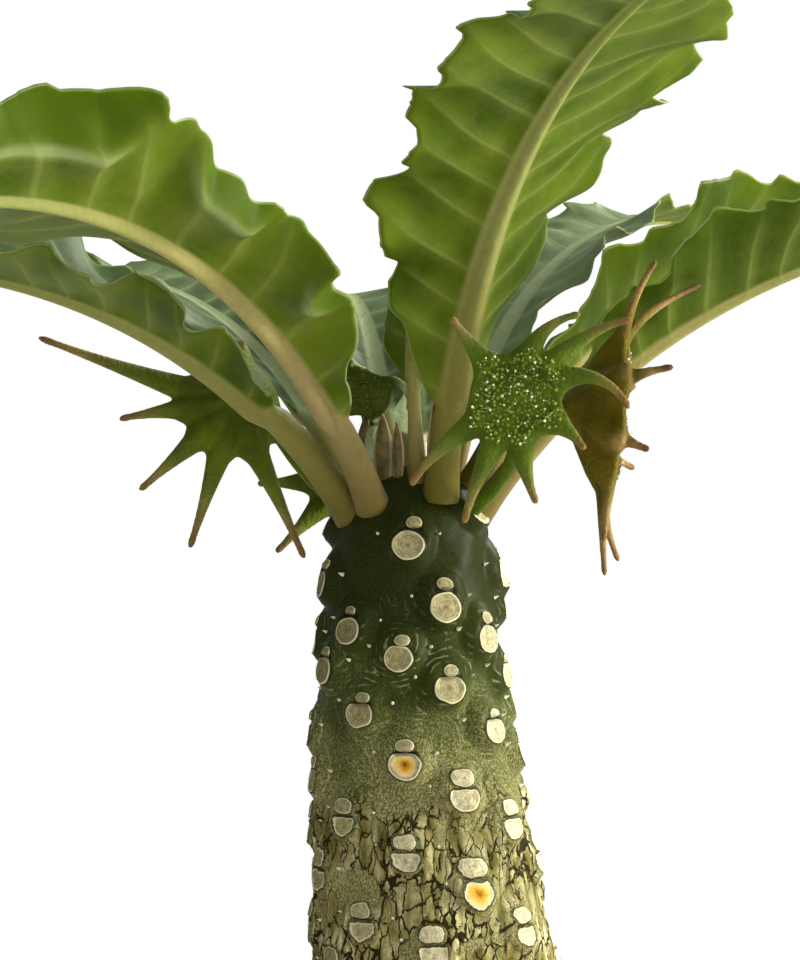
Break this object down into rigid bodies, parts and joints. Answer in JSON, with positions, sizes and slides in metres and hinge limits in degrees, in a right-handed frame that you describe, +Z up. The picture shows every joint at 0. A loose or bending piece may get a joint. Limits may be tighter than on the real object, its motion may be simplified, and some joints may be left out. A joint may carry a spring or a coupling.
{
  "type": "potted dorstenia hybrid",
  "caption": "Potted succulent with a knobbly scarred stem, a crown of wavy long leaves on thick midribs and flat star-shaped flower heads, in a plain clay pot.",
  "frame": {"origin": "centre of the pot's foot, on the surface the pot stands on", "axes": "+Z up along the pot's axis, the side seen in the picture towards -Y, +X to its right"},
  "size_m": [0.187, 0.1802, 0.2509],
  "materials": {
    "clay": "unglazed, matt",
    "soil": "rough, gritty",
    "stem": "satin above, corky below",
    "leaf": "soft sheen",
    "bloom": "grainy, matt"
  },
  "bodies": {
    "root": {"pot": "clay", "soil": "soil", "stem": "stem", "leaf_back": "leaf", "leaf_front_left": "leaf", "leaf_right": "leaf", "leaf_back_left": "leaf", "leaf_front_right": "leaf", "leaf_back_right": "leaf", "leaf_left": "leaf", "leaf_right_low": "leaf", "leaf_inner_back": "leaf", "leaf_young": "leaf", "leaf_young_left": "leaf", "bloom_front_right": "bloom", "bloom_right": "bloom", "bloom_left": "bloom", "bloom_back_left": "bloom", "bloom_young": "bloom"}
  },
  "joints": []
}
